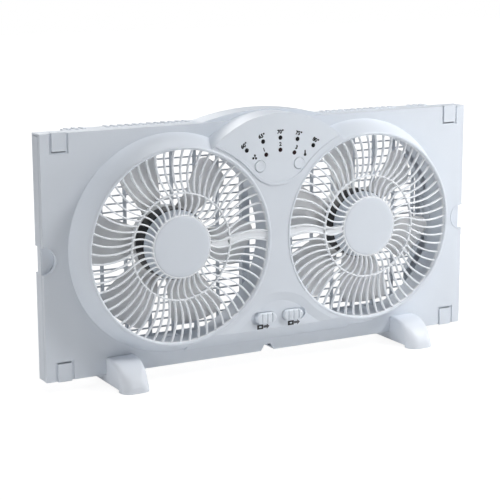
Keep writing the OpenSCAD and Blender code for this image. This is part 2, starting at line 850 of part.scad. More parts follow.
// Trim cap that hides the screws in the centre disc
module grille_cap(s) {
  back = grille_depth - cap_recess + seat_gap;
  color(bar_white) at_fan(s) mirror([s > 0 ? 1 : 0, 0, 0]) {
    step(cap_r, back, back + 0.8);
    translate([0, 0, back + 0.8]) cylinder(h = cap_t - 0.8, r1 = cap_r, r2 = cap_r - 1.2);
    for (a = peg_angles) rotate(a) translate([cap_r - cap_peg_in, 0, 0])
      step(cap_peg_r, grille_back + 0.4, back + 0.4);
  }
}

// ---------------------------------------------------------------- motors

// Screw places round a fan's axis. The right fan mirrors the left one.
function mount_spots(s) =
  round_fan(s, mount_screw_r, s > 0 ? [for (a = screw_angles) 180 - a] : screw_angles);
function bell_spots(s) = round_fan(s, bell_screw_r, screw_angles);

module cup_form(inset, from, to) {
  slope = (cup_r - cup_front_r) / cup_d;
  translate([0, 0, from]) cylinder(h = to - from, r1 = cup_r - inset - (from - cup_back) * slope,
    r2 = cup_r - inset - (to - cup_back) * slope);
}

module motor_cup(s) {
  color(white) difference() {
    intersection() {
      at_fan(s) cup_form(0, cup_back, cup_front);
      union() {
        at_fan(s) difference() {
          cup_form(-1, cup_back, cup_front + 1);
          cup_form(wall, cup_back - 1, cup_front - wall);
        }
        at_fan(s) step(bearing_r + wall, cup_front - bearing_web - bearing_l, cup_front - wall + 0.5);
        for (p = mount_spots(s)) pin(p, 3.4, mount_seat - mount_screw_l - 1.6, cup_front - wall + 0.5);
        for (p = bell_spots(s)) pin(p, 3, cup_back, bell_seat + bell_screw_l + 2);
      }
    }
    at_fan(s) step(bearing_r + bore_gap, cup_back, cup_front - bearing_web);
    for (p = mount_spots(s)) pin(p, screw_r + bore_gap, mount_seat - mount_screw_l - 0.4, cup_front + 1);
    for (p = bell_spots(s)) pin(p, screw_r + bore_gap, cup_back - 1, bell_seat + bell_screw_l + 0.4);
    // hole for the motor leads, in line with the grille's channel
    slab(-cup_front + 6, -cup_front + 3)
      box2d(s * (fan_x - cup_r - 1), fan_z, s * (fan_x - stator_r - 1), fan_z + 4);
  }
}

// Bought-in motor: end bell with the stator and its windings
module motor(s) {
  color(black) difference() {
    at_fan(s) rotate_extrude() difference() {
      union() {
        polygon([[stator_r, bell_back], [bell_r - 1.5, bell_back], [bell_r, bell_back + 1.5],
          [bell_r, bell_front], [bell_r - wall, bell_front], [bell_r - wall, bell_back + bell_floor],
          [stator_r, bell_back + bell_floor]]);
        translate([shaft_r + 0.8, bell_back]) square([stator_r - shaft_r, 3]);
        translate([shaft_r + 0.8, bell_back])
          square([bearing_r + wall - shaft_r - 0.8, bearing_web + bearing_l]);
        translate([stator_in_r, bell_back + 7])
          square([stator_r - stator_in_r, stator_front - bell_back - 10]);
        translate([stator_r - 1, bell_back + 10])
          square([bell_r - wall / 2 - stator_r + 1, stack_d]);
        translate([stator_in_r + 2.5, bell_back + 4.4]) square([10, stator_front - bell_back - 4.4]);
      }
      translate([0, bell_back + bearing_web]) square([bearing_r + bore_gap, bearing_l + 1]);
    }
    for (p = bell_spots(s)) {
      pin(p, screw_r + head_gap, bell_back - 1, bell_front + 1);
      pin(p, head_r + head_gap, bell_back - 1, bell_seat);
    }
  }
}

// Sleeve bearings at both ends of the motor
module bearings(s) {
  color(bronze) for (from = [bell_back + bearing_web, cup_front - bearing_web - bearing_l])
    at_fan(s) difference() {
      step(bearing_r, from + seat_gap / 2, from + bearing_l - seat_gap / 2);
      step(shaft_r + bore_gap, from - 1, from + bearing_l + 1);
    }
}

// Shaft with the motor's own core
module shaft(s) {
  color(steel) at_fan(s) {
    step(shaft_r, -shaft_end_y, shaft_front);
    step(core_rotor_r, bell_back + bearing_web + bearing_l + 1.6, cup_front - bearing_web - bearing_l - 3);
  }
}

// ---------------------------------------------------------------- rotors

// How far a blade's edges lie from its middle, in degrees
function blade_half(r) =
  let (arc = blade_span * (1 + 0.18 * (rotor_r - r) / (rotor_r - hub_r)) / 2,
    over = max(0, r - rotor_r + blade_corner),
    cut = blade_corner - sqrt(blade_corner * blade_corner - over * over))
  arc - cut / r * 180 / PI;

// Depth of a blade's front edge: only outside the end bell may it reach forward
function blade_front(r) =
  let (rise = sin(90 * max(0, min(1, (r - blade_clear_r) / 24))))
  -hub_y - 0.4 + rise * (blade_reach + hub_y + 0.4);

// A point of a blade: row along the radius, column across the blade, side -1 at the back and 1 at the front
function blade_point(r, c, side) =
  let (u = c / (blade_cols - 1), back = -hub_back_y + 0.4,
    edge = 0.3 + 0.7 * sin(180 * u),
    camber = 1.6 * sin(180 * u) * (blade_front(r) - back) / (blade_reach - back))
  concat(polar(r, (2 * u - 1) * blade_half(r)),
    [back + (blade_front(r) - back) * u + camber * 0.5 + side * edge * blade_t / 2]);

module blade() {
  rows = len(blade_rows);
  ring = 2 * blade_cols;
  points = [for (r = blade_rows) each concat([for (c = [0:blade_cols - 1]) blade_point(r, c, 1)],
    [for (c = [blade_cols - 1:-1:0]) blade_point(r, c, -1)])];
  skin = [for (k = [0:rows - 2], j = [0:ring - 1]) let (a = k * ring + j, b = k * ring + (j + 1) % ring)
    each [[a, b, a + ring], [b, b + ring, a + ring]]];
  ends = [for (c = [0:blade_cols - 2])
    let (a = c, b = c + 1, d = ring - 1 - c, e = ring - 2 - c, k = (rows - 1) * ring)
    each [[a, d, b], [b, d, e], [k + a, k + b, k + d], [k + b, k + e, k + d]]];
  polyhedron(points, concat(skin, ends));
}

module rotor(s) {
  first = s < 0 ? 53 : 42;
  color(blade_grey) at_fan(s) {
    for (i = [0:blades - 1]) rotate(first + i * 360 / blades) blade();
    rotate_extrude() {
      polygon([[shaft_r + bore_gap, -hub_y], [hub_r - 1, -hub_y], [hub_r, -hub_y - 1],
        [hub_r, -hub_back_y], [hub_r - wall, -hub_back_y], [hub_r - wall, -hub_y - hub_skin],
        [shaft_r + bore_gap, -hub_y - hub_skin]]);
      translate([shaft_r + bore_gap, -hub_back_y]) square([boss_hub_r - shaft_r - bore_gap, hub_d - 0.5]);
    }
  }
}

// Blind nut that holds the hub on the shaft
module rotor_nut(s) {
  from = -hub_back_y - seat_gap - nut_t;
  color(black) at_fan(s) difference() {
    union() {
      translate([0, 0, from + 1]) cylinder(h = nut_t - 1, r = nut_r, $fn = 6);
      step(nut_r - 2.4, from, from + 2);
    }
    step(shaft_r + bore_gap, -shaft_end_y - 0.3, 0);
  }
}

// ---------------------------------------------------------------- controls

module control_panel() {
  color([0.9, 0.91, 0.93]) difference() {
    slab(-panel_back, -pocket_depth - face_t) pod2d(0, 0);
    for (p = concat(temperature_spots(), speed_spots()))
      pin(p, led_r + slide_gap / 2, pocket_depth - 1, core_depth + 2);
    for (s = [-1, 1]) pin(button_spot(s), button_r + slide_gap, pocket_depth - 1, core_depth + 2);
  }
}

// Circuit board with the key that each button presses
module control_board() {
  front = board_depth - seat_gap;
  color([0.12, 0.35, 0.2]) {
    difference() {
      slab(-front + board_t, -front) pod2d(-3, -3);
      for (p = board_posts) pin(p, screw_r + head_gap, front - board_t - 1, front + 1);
    }
    for (s = [-1, 1]) {
      slab(-front + 0.4, -front - tact_t) translate(button_spot(s)) square(tact_w, center = true);
      pin(button_spot(s), plunger_r, front + tact_t - 0.4, front + tact_t + plunger_l);
    }
  }
}

// A light stands on the board and ends in the control panel
module lights(spots, tint) {
  color(tint) for (p = spots) {
    pin(p, led_r, board_depth + 0.4, pocket_depth + face_t - 0.2);
    pin(p, led_r + 0.7, board_depth, board_depth + 1);
  }
}

module button(s) {
  back = board_depth - seat_gap + tact_t + plunger_l + button_travel + 0.2;
  front = pocket_depth + face_t + 0.9;
  color([0.93, 0.94, 0.95]) {
    pin(button_spot(s), button_r, panel_back - seat_gap - 0.4, front - 0.5);
    translate([button_spot(s)[0], -front + 0.5, button_spot(s)[1]]) rotate([90, 0, 0])
      cylinder(h = 0.5, r1 = button_r, r2 = button_r - 0.6);
    pin(button_spot(s), button_r + flange_over, panel_back - seat_gap - flange_t, panel_back - seat_gap);
    pin(button_spot(s), stem_r, back, panel_back - seat_gap - 0.5);
  }
}

module switch_body(s) {
  color(white) difference() {
    slab(-switch_front + switch_d, -switch_front) translate([s * slot_pitch / 2, slot_z])
      square([switch_l, switch_h], center = true);
    slab(-switch_front + stem_in + 0.6, -switch_front - 1) translate([s * slot_pitch / 2, slot_z])
      square([stem_l + knob_travel + 2 * slide_gap, stem_w + 2 * slide_gap], center = true);
  }
}

// Knob with three grooves. Each stands at the end of its slot that is nearer the middle.
module switch_knob(s) {
  place = [s * (slot_pitch - knob_travel) / 2, slot_z];
  back = core_in_depth + slide_gap;
  color([0.95, 0.96, 0.97]) difference() {
    union() {
      slab(-back, -knob_front + 0.6) obround2d(place, knob_l, knob_w);
      slab(-knob_front + 1, -knob_front) obround2d(place, knob_l - 1.2, knob_w - 1.2);
      slab(-back + stem_in + slide_gap, -back - 0.5) translate(place) square([stem_l, stem_w], center = true);
    }
    for (i = [-1:1]) slab(-knob_front + 1.1, -knob_front - 1)
      translate([place[0] + i * groove_pitch, place[1]]) square([1.8, knob_w - 4], center = true);
  }
}

// ---------------------------------------------------------------- extenders, feet and small parts

// A strip at the body's end, with an arm above the rotor and one below it
module extender2d(s, inset) {
  low = sill_z + wall + slide_gap + inset;
  high = top_z - wall - top_gap - inset;
  end = s * (half_w - inset);
  box2d(s * (strip_x + inset), low, end, high);
  box2d(s * (arm_end_x + inset), low, end, fan_z - extender_r - inset);
  box2d(s * (arm_end_x + inset), fan_z + extender_r + inset, end, high);
}

module extender(s) {
  peg_slot = 2 * (peg_r + slide_gap);
  color(white) difference() {
    slab(layer, -layer) extender2d(s, 0);
    slab(layer + 1, -layer + wall) extender2d(s, wall);
    slab(0, -layer - 1) obround2d([s * (peg_place[0] - extender_travel / 2), peg_place[1]],
      extender_travel + peg_slot, peg_slot);
    // groove that parts the end edge from the front panel
    slab(-layer + edge_groove, -layer - 1)
      box2d(s * (half_w - edge_groove), sill_z, s * (half_w + 1), top_z);
  }
}

module foot(s) {
  grip = panel_depth + seat_gap;
  color([0.93, 0.95, 0.97]) translate([s * (half_w - foot_in), 0, 0]) difference() {
    intersection() {
      rotate([90, 0, 90]) translate([0, 0, -foot_w / 2]) linear_extrude(foot_w) intersection() {
        union() {
          box2d(nose_r - foot_l / 2, 0, foot_l / 2 - nose_r, foot_top);
          for (e = [-1, 1]) disc2d([e * (foot_l / 2 - nose_r), foot_top - nose_r], nose_r);
        }
        box2d(-foot_l, 0, foot_l, foot_top + 1);
      }
      linear_extrude(foot_top + 1) {
        square([foot_w, foot_l - 2 * toe_corner_r], center = true);
        square([foot_w - 2 * toe_corner_r, foot_l + 1], center = true);
        for (x = [-1, 1], y = [-1, 1])
          translate([x * (foot_w / 2 - toe_corner_r), y * (foot_l / 2 - toe_corner_r)]) circle(toe_corner_r);
      }
    }
    translate([-foot_w, -grip, sill_z - seat_gap]) cube([2 * foot_w, 2 * grip, foot_top]);
    translate([-foot_w, sole_l - foot_l / 2, -1]) cube([2 * foot_w, foot_l - 2 * sole_l, 1 + arch_h]);
    for (e = [-1, 1]) translate([wall - foot_w / 2, e > 0 ? core_y : sole_l + 2 - foot_l / 2, -1])
      cube([foot_w - 2 * wall, foot_l / 2 - sole_l - 2 - core_y, core_top + 1]);
  }
}

// Rubber grommet for the cord, in the floor of the box
module cord_gland() {
  color(black) translate([0, gland_y, 0]) difference() {
    union() {
      translate([0, 0, box_z - 1]) cylinder(h = wall + 2, r = gland_r);
      for (z = [box_z - seat_gap - gland_lip_t, box_z + wall + seat_gap])
        translate([0, 0, z]) cylinder(h = gland_lip_t, r = gland_r + gland_lip);
    }
    translate([0, 0, box_z - 10]) cylinder(h = 30, r = cord_r);
  }
}

// ---------------------------------------------------------------- nodes

module left_front_grille() { front_grille(LEFT); }
module right_front_grille() { front_grille(RIGHT); }
module left_grille_cap() { grille_cap(LEFT); }
module right_grille_cap() { grille_cap(RIGHT); }
module left_motor_cup() { motor_cup(LEFT); }
module right_motor_cup() { motor_cup(RIGHT); }
module left_mount_screws() { for (p = mount_spots(LEFT)) screw(p, mount_seat, mount_seat - mount_screw_l); }
module right_mount_screws() { for (p = mount_spots(RIGHT)) screw(p, mount_seat, mount_seat - mount_screw_l); }
module left_motor() { motor(LEFT); }
module right_motor() { motor(RIGHT); }
module left_motor_screws() { for (p = bell_spots(LEFT)) screw(p, bell_seat, bell_seat + bell_screw_l); }
module right_motor_screws() { for (p = bell_spots(RIGHT)) screw(p, bell_seat, bell_seat + bell_screw_l); }
module left_bearings() { bearings(LEFT); }
module right_bearings() { bearings(RIGHT); }
module left_shaft() { shaft(LEFT); }
module right_shaft() { shaft(RIGHT); }
module left_rotor() { rotor(LEFT); }
module right_rotor() { rotor(RIGHT); }
module left_rotor_nut() { rotor_nut(LEFT); }
module right_rotor_nut() { rotor_nut(RIGHT); }
module board_screws() { for (p = board_posts) screw(p, board_depth - seat_gap - board_t, board_depth + 5); }
module temperature_lights() { lights(temperature_spots(), [0.25, 0.27, 0.3]); }
module speed_lights() { lights(speed_spots(), [0.35, 0.12, 0.1]); }
module speed_button() { button(LEFT); }
module temperature_button() { button(RIGHT); }
module left_switch_body() { switch_body(LEFT); }
module right_switch_body() { switch_body(RIGHT); }
module left_switch_knob() { switch_knob(LEFT); }
module right_switch_knob() { switch_knob(RIGHT); }
module left_extender() { extender(LEFT); }
module right_extender() { extender(RIGHT); }
module left_foot() { foot(LEFT); }
module right_foot() { foot(RIGHT); }
module rear_grille_screws() {
  for (p = grille_posts) screw(p, -grille_screw_y, grille_screw_l - grille_screw_y);
}
module housing_screws() {
  for (p = core_posts) screw(p, -screw_seat_y, lip_end + core_screw_reach);
  for (p = edge_posts) screw(p, -screw_seat_y, panel_depth - edge_screw_stop);
}

front_bezel();
rear_housing();
rear_grille();
left_front_grille();
right_front_grille();
left_grille_cap();
right_grille_cap();
left_motor_cup();
right_motor_cup();
left_mount_screws();
right_mount_screws();
left_motor();
right_motor();
left_motor_screws();
right_motor_screws();
left_bearings();
right_bearings();
left_shaft();
right_shaft();
left_rotor();
right_rotor();
left_rotor_nut();
right_rotor_nut();
control_panel();
control_board();
board_screws();
temperature_lights();
speed_lights();
speed_button();
temperature_button();
left_switch_body();
right_switch_body();
left_switch_knob();
right_switch_knob();
left_extender();
right_extender();
corner_clips();
left_foot();
right_foot();
cord_gland();
housing_screws();
rear_grille_screws();
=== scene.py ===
"""Looks of a twin window fan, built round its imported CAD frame.

+X is to the right seen from the control side, +Y to the rear grille, +Z up. Camera, lamps, floor
and finishes are in metres; the shapes are in mm and degrees. A depth counts forward, against +Y,
from the middle of the window flange.
"""
import json
import math

import bmesh
import bpy
from mathutils import Matrix, Vector


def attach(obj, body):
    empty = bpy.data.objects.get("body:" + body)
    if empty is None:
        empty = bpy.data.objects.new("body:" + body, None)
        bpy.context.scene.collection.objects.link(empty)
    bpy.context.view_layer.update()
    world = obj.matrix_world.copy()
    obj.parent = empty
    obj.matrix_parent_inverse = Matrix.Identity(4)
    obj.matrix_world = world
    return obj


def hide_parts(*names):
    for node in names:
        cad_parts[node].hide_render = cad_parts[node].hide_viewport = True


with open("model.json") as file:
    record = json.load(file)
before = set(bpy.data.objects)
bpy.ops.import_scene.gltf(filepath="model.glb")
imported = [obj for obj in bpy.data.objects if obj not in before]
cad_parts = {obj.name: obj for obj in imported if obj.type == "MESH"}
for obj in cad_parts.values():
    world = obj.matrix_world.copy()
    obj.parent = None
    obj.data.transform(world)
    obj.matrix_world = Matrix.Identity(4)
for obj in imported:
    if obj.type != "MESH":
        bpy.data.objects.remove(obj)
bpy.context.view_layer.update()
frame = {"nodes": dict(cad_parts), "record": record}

MM = 0.001
SIDES = {"left": -1, "right": 1}


# ---------------------------------------------------------------- camera

LENS, SENSOR_W, FAR_CLIP = 109.1, 36, 20
EYE, AIM = Vector((-0.9121, -1.6327, 0.5337)), Vector((-0.02508, -0.012, 0.14551))
ROLL = -0.173


def place_camera():
    data = bpy.data.cameras.new("camera")
    data.lens = LENS
    data.sensor_width = SENSOR_W
    data.clip_end = FAR_CLIP
    camera = bpy.data.objects.new("camera", data)
    bpy.context.scene.collection.objects.link(camera)
    turn = (AIM - EYE).to_track_quat("-Z", "Y").to_matrix().to_4x4()
    roll = Matrix.Rotation(math.radians(ROLL), 4, "Z")
    camera.matrix_world = Matrix.Translation(EYE) @ turn @ roll
    bpy.context.scene.camera = camera


place_camera()


# ---------------------------------------------------------------- shader maths

class Term:
    """A shader socket that takes part in Python arithmetic."""

    def __init__(self, finish, socket):
        self.finish = finish
        self.socket = socket

    def __add__(self, other):
        return self.finish.sums("ADD", self, other)

    __radd__ = __add__

    def __sub__(self, other):
        return self.finish.sums("SUBTRACT", self, other)

    def __rsub__(self, other):
        return self.finish.sums("SUBTRACT", other, self)

    def __mul__(self, other):
        return self.finish.sums("MULTIPLY", self, other)

    __rmul__ = __mul__


class Finish:
    """A material and the nodes that make it."""

    def __init__(self, name, **constants):
        self.material = bpy.data.materials.new(name)
        self.material.use_nodes = True
        self.nodes = self.material.node_tree.nodes
        self.links = self.material.node_tree.links
        self.nodes.clear()
        self.output = self.nodes.new("ShaderNodeOutputMaterial")
        self.surface = self.nodes.new("ShaderNodeBsdfPrincipled")
        self.links.new(self.surface.outputs[0], self.output.inputs["Surface"])
        self.set(**constants)

    def put(self, socket, value):
        if isinstance(value, Term):
            self.links.new(value.socket, socket)
        elif isinstance(value, tuple) and socket.type == "RGBA":
            socket.default_value = (*value, 1)
        else:
            socket.default_value = value

    def set(self, **values):
        for name, value in values.items():
            self.put(self.surface.inputs[name.replace("_", " ")], value)

    def node(self, kind, settings, values, output=0):
        made = self.nodes.new("ShaderNode" + kind)
        for name, value in settings.items():
            setattr(made, name, value)
        for key, value in values.items():
            self.put(made.inputs[key], value)
        return Term(self, made.outputs[output])

    def sums(self, operation, *values):
        return self.node("Math", {"operation": operation}, dict(enumerate(values)))

    def place(self, stretch=(1, 1, 1)):
        position = self.node("TexCoord", {}, {}, "Object")
        return self.node("Mapping", {}, {"Vector": position, "Scale": stretch})

    def noise(self, scale, detail):
        values = {"Vector": self.place(), "Scale": scale, "Detail": detail}
        return self.node("TexNoise", {}, values)

    def step(self, value, low, high):
        """0 below low and 1 above high, with a smooth rise between them."""
        settings = {"interpolation_type": "SMOOTHSTEP"}
        return self.node("MapRange", settings, {0: value, 1: low, 2: high})

    def blend(self, factor, first, second):
        """A mix of two colours; 6, 7 and 2 are the colour sockets of the Mix node."""
        values = {"Factor": factor, 6: first, 7: second}
        return self.node("Mix", {"data_type": "RGBA"}, values, 2)

    def rounded(self, radius):
        return self.node("Bevel", {"samples": 4}, {"Radius": radius})

    def relief(self, height, distance, normal):
        values = {"Height": height, "Distance": distance, "Strength": 1.0, "Normal": normal}
        return self.node("Bump", {}, values)


# ---------------------------------------------------------------- finishes

CLOUD_SCALE, CLOUD_DETAIL, GRAIN_DETAIL = 14.0, 4, 2
CLOUD_RANGE = (0.35, 0.65)
NOISE_MIDDLE, CLOUD_GLOSS, GRAIN_GLOSS = 0.5, 0.08, 0.05


def moulded(name, shade, roughness, grain=2600.0, depth=0.00002, edge=0.0006, tone=0.02, **more):
    """Moulded plastic: fine grain, faint cloudiness in tone and gloss, and rounded edges."""
    finish = Finish(name, **more)
    cloud = finish.noise(CLOUD_SCALE, CLOUD_DETAIL)
    fine = finish.noise(grain, GRAIN_DETAIL)
    dull = tuple(part * (1 - tone) for part in shade)
    finish.set(Base_Color=finish.blend(finish.step(cloud, *CLOUD_RANGE), dull, shade),
               Roughness=(roughness + CLOUD_GLOSS * (cloud - NOISE_MIDDLE)
                          + GRAIN_GLOSS * (fine - NOISE_MIDDLE)),
               Normal=finish.relief(fine, depth, finish.rounded(edge)))
    return finish.material


shell_plastic = moulded("shell_plastic", (0.73, 0.778, 0.845), 0.38)
# painted light: the grille and blade plastics are whiter than the shell's plastic, partly their
# own paler white and partly to stand in for light that the shaded fan ducts lack
grille_plastic_with_painted_light = moulded("grille_plastic_with_painted_light", (0.88, 0.91, 0.95), 0.32, edge=0.0008)
blade_plastic_with_painted_light = moulded("blade_plastic_with_painted_light", (0.95, 0.95, 0.95), 0.3, grain=1800.0)
panel_plastic = moulded("panel_plastic", (0.75, 0.80, 0.865), 0.3, grain=3200.0, edge=0.0003)
foot_plastic = moulded("foot_plastic", (0.77, 0.81, 0.87), 0.42, grain=900.0, depth=0.000008,
                       edge=0.0015, Specular_IOR_Level=0.4)
black_plastic = moulded("black_plastic", (0.02, 0.021, 0.023), 0.45, tone=0.2)
motor_black = moulded("motor_black", (0.012, 0.013, 0.016), 0.4, grain=1200.0, tone=0.3)
rubber = moulded("rubber", (0.018, 0.018, 0.019), 0.75, grain=1500.0, depth=0.00004, tone=0.2)
steel = moulded("steel", (0.55, 0.56, 0.58), 0.32, grain=3000.0, depth=0.000004, edge=0.0002,
                tone=0.1, Metallic=1.0)
bronze = moulded("bronze", (0.5, 0.32, 0.14), 0.4, grain=2500.0, tone=0.15, edge=0.0003,
                 Metallic=1.0)
board_green = moulded("board_green", (0.01, 0.09, 0.035), 0.35, grain=1400.0, tone=0.25,
                      edge=0.0003)
lens_dark = moulded("lens_dark", (0.003, 0.003, 0.004), 0.45, depth=0.0, edge=0.0002,
                    Specular_IOR_Level=0.2)
lens_red = moulded("lens_red", (0.016, 0.002, 0.003), 0.45, depth=0.0, edge=0.0002,
                   Specular_IOR_Level=0.2)
ink = moulded("ink", (0.004, 0.004, 0.005), 0.6, grain=4000.0, depth=0.000005, edge=0.0001)
grey_ink = moulded("grey_ink", (0.09, 0.09, 0.1), 0.6, grain=4000.0, depth=0.000005, edge=0.0001)

SLOT_FINISH = {
    "shell_white": shell_plastic, "grille_white": grille_plastic_with_painted_light, "blade_grey": blade_plastic_with_painted_light,
    "motor_black": motor_black, "black_plastic": black_plastic, "steel": steel,
    "bronze": bronze, "control_white": panel_plastic, "foot_gloss": foot_plastic,
    "light_dark": lens_dark, "light_red": lens_red, "board_green": board_green,
    "rubber_black": rubber,
}
for entry in frame["record"]["subparts"]:
    cad = frame["nodes"][entry["node"]]
    for slot in cad.material_slots:
        slot.material = SLOT_FINISH[entry["material_slot"]]


# ---------------------------------------------------------------- floor, world and lamps

FLOOR_W, FLOOR_GLOW = 12, 1.12
SHADOW_SHARE, SHADOW_STRETCH, SHADOW_RANGE = 0.2, (0.9, 1.4, 1), (0.05, 0.5)
FILL_TINT, FILL_STRENGTH = (0.94, 0.97, 1, 1), 0.02
WHITE = (1, 1, 1, 1)


def lay_floor():
    bpy.ops.mesh.primitive_plane_add(size=FLOOR_W, location=(0, 0, 0))
    floor = bpy.context.object
    floor.name = "floor"
    ground = Finish("ground", Base_Color=(0.9, 0.9, 0.9), Roughness=0.9)
    glow = ground.nodes.new("ShaderNodeEmission")
    glow.inputs["Color"].default_value = WHITE
    glow.inputs["Strength"].default_value = FLOOR_GLOW
    path = ground.nodes.new("ShaderNodeLightPath")
    mix = ground.nodes.new("ShaderNodeMixShader")
    # the floor shows some of its shadows near the fan and is plain white further off
    spread = ground.node("TexGradient", {"gradient_type": "SPHERICAL"},
                         {"Vector": ground.place(SHADOW_STRETCH)})
    near = ground.step(spread, *SHADOW_RANGE)
    share = Term(ground, path.outputs["Is Camera Ray"]) * (1 - SHADOW_SHARE * near)
    ground.links.new(share.socket, mix.inputs[0])
    ground.links.new(ground.surface.outputs[0], mix.inputs[1])
    ground.links.new(glow.outputs[0], mix.inputs[2])
    ground.links.new(mix.outputs[0], ground.output.inputs["Surface"])
    floor.data.materials.append(ground.material)


def light_world():
    """A weak fill for the object and plain white for the camera."""
    world = bpy.data.worlds.new("studio")
    bpy.context.scene.world = world
    world.use_nodes = True
    nodes, links = world.node_tree.nodes, world.node_tree.links
    nodes.clear()
    output = nodes.new("ShaderNodeOutputWorld")
    mix = nodes.new("ShaderNodeMixShader")
    path = nodes.new("ShaderNodeLightPath")
    links.new(path.outputs["Is Camera Ray"], mix.inputs[0])
    for i, (tint, strength) in enumerate([(FILL_TINT, FILL_STRENGTH), (WHITE, 1.0)]):
        shine = nodes.new("ShaderNodeBackground")
        shine.inputs["Color"].default_value = tint
        shine.inputs["Strength"].default_value = strength
        links.new(shine.outputs[0], mix.inputs[i + 1])
    links.new(mix.outputs[0], output.inputs["Surface"])
    bpy.context.scene.view_settings.view_transform = "Standard"


def area_lamp(name, place, aim, size, power):
    data = bpy.data.lights.new(name, "AREA")
    data.shape = "DISK"
    data.size = size
    data.energy = power
    lamp = bpy.data.objects.new(name, data)
    bpy.context.scene.collection.objects.link(lamp)
    lamp.location = place
    lamp.rotation_euler = (Vector(aim) - Vector(place)).to_track_quat("-Z", "Y").to_euler()


lay_floor()
light_world()
area_lamp("key", (0.85, -0.6, 1.0), (0.2, 0, 0.15), 0.5, 11.0)
area_lamp("far_key", (2.3, -0.8, 0.6), (0, 0, 0.15), 0.8, 12)
area_lamp("front", (0.9, -1.9, 1.5), (0, 0, 0.15), 1.0, 3.6)
area_lamp("top_left", (-0.5, -0.3, 2.2), (0, 0, 0.15), 0.8, 12)
area_lamp("left", (-1.7, -0.2, 0.35), (-0.25, 0, 0.12), 0.7, 4.6)
area_lamp("front_left", (-2.3, -1.9, 0.22), (0.2, 0, 0.15), 1.0, 9.0)
area_lamp("back_top", (0.0, 1.2, 1.2), (0, 0, 0.15), 1.2, 13)


# ---------------------------------------------------------------- mesh helpers

FAN_X, FAN_Z = 132.65, 165.4
MERGE_DISTANCE, SHARP_ANGLE = 1e-6, 38
AXIS = 0.01  # as near to its axis as a turned profile comes


def spot(x, z, depth):
    return Vector((x * MM, -depth * MM, z * MM))


def fan_place(side, across, up, depth):
    """A point beside a fan's axis."""
    return spot(SIDES[side] * FAN_X + across, FAN_Z + up, depth)


def polar(radius, degrees):
    angle = math.radians(degrees)
    return Vector((radius * math.cos(angle), radius * math.sin(angle)))


def make_piece(name, mesh, body, finish, replaces=(), smooth=True):
    bmesh.ops.remove_doubles(mesh, verts=mesh.verts, dist=MERGE_DISTANCE)
    bmesh.ops.recalc_face_normals(mesh, faces=mesh.faces)
    data = bpy.data.meshes.new(name)
    mesh.to_mesh(data)
    mesh.free()
    piece = bpy.data.objects.new(name, data)
    bpy.context.scene.collection.objects.link(piece)
    data.materials.append(finish)
    if smooth:
        data.shade_smooth()
        data.set_sharp_from_angle(angle=math.radians(SHARP_ANGLE))
    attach(piece, body)
    if replaces:
        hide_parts(*replaces)


def loft(mesh, loops, closed=False, capped=False):
    """Skins closed loops of points that all have the same count."""
    rows = [[mesh.verts.new(point) for point in loop] for loop in loops]
    count = len(rows[0])
    pairs = list(zip(rows, rows[1:])) + ([(rows[-1], rows[0])] if closed else [])
    for near, far in pairs:
        for i in range(count):
            j = (i + 1) % count
            mesh.faces.new((near[i], near[j], far[j], far[i]))
    if capped:
        mesh.faces.new(rows[0])
        mesh.faces.new(rows[-1])


def turned(mesh, x, z, profile, steps):
    """Turns a closed profile of (radius, depth) round an axis at x, z."""
    loops = []
    for i in range(steps):
        angle = 2 * math.pi * i / steps
        loops.append([spot(x + r * math.cos(angle), z + r * math.sin(angle), d)
                      for r, d in profile])
    loft(mesh, loops, closed=True)


def lathe(mesh, side, profile):
    """Turns a closed profile of (radius, depth) round a fan's axis."""
    turned(mesh, SIDES[side] * FAN_X, FAN_Z, profile, steps=160)


def round_corners(corners, steps=4):
    """A closed outline from (x, y, radius) corners, with each corner rounded."""
    outline = []
    count = len(corners)
    for i, (x, y, radius) in enumerate(corners):
        here = Vector((x, y))
        back = (Vector(corners[i - 1][:2]) - here).normalized()
        ahead = (Vector(corners[(i + 1) % count][:2]) - here).normalized()
        half = back.angle(ahead) / 2
        reach = radius / math.tan(half)
        centre = here + (back + ahead).normalized() * radius / math.sin(half)
        start, end = here + back * reach - centre, here + ahead * reach - centre
        turn = start.angle_signed(end)
        for k in range(steps + 1):
            arm = start.copy()
            arm.rotate(Matrix.Rotation(-turn * k / steps, 2))
            outline.append(tuple(centre + arm))
    return outline


# ---------------------------------------------------------------- front grilles

DISC_R, MID_R, LIP_R, SEAT_R = 38.9, 65.1, 117.2, 117.9
GRILLE_FRONT, GRILLE_BACK = 40.5, 36.5
OUTER_BARS, OUTER_BAR_W, INNER_BARS, INNER_BAR_W = 60, 2.3, 40, 2.1
# the course of each row of bars: degrees at their inner and outer ends, and their bow
OUTER_COURSE, INNER_COURSE = (2, 4.2, 4.8), (-3, -3.4, -3.1)
# how far the bars run into the lip and under the disc
LIP_BITE, DISC_BITE = 0.6, 0.9
# shares of a bar's half width: its slimmer back and its front corners; its back corners' radius
BACK_SHARE, FRONT_ROUND_SHARE, BACK_ROUND = 0.8, 0.85, 0.45

CHANNEL_BACK = 31.0
CHANNEL_PROFILE = [
    (-4.3, CHANNEL_BACK), (-4.3, 40.1), (-3.9, 40.5), (-3.5, 40.4), (-3.1, 39.2),
    (3.1, 39.2), (3.5, 40.4), (3.9, 40.5), (4.3, 40.1), (4.3, CHANNEL_BACK),
    (3.2, CHANNEL_BACK), (3.2, 38), (-3.2, 38), (-3.2, CHANNEL_BACK)]
MID_PROFILE = round_corners([
    (MID_R - 1, GRILLE_BACK, 0.4), (MID_R - 1.1, GRILLE_FRONT, 0.8),
    (MID_R + 1.1, GRILLE_FRONT, 0.8), (MID_R + 1, GRILLE_BACK, 0.4)])
LIP_PROFILE = [
    (LIP_R - 0.3, GRILLE_BACK), (LIP_R - 0.3, 40.2), (LIP_R - 0.1, GRILLE_FRONT),
    (LIP_R + 0.1, 40.8), (SEAT_R - 0.2, 40.8), (SEAT_R, GRILLE_FRONT), (SEAT_R, GRILLE_BACK)]
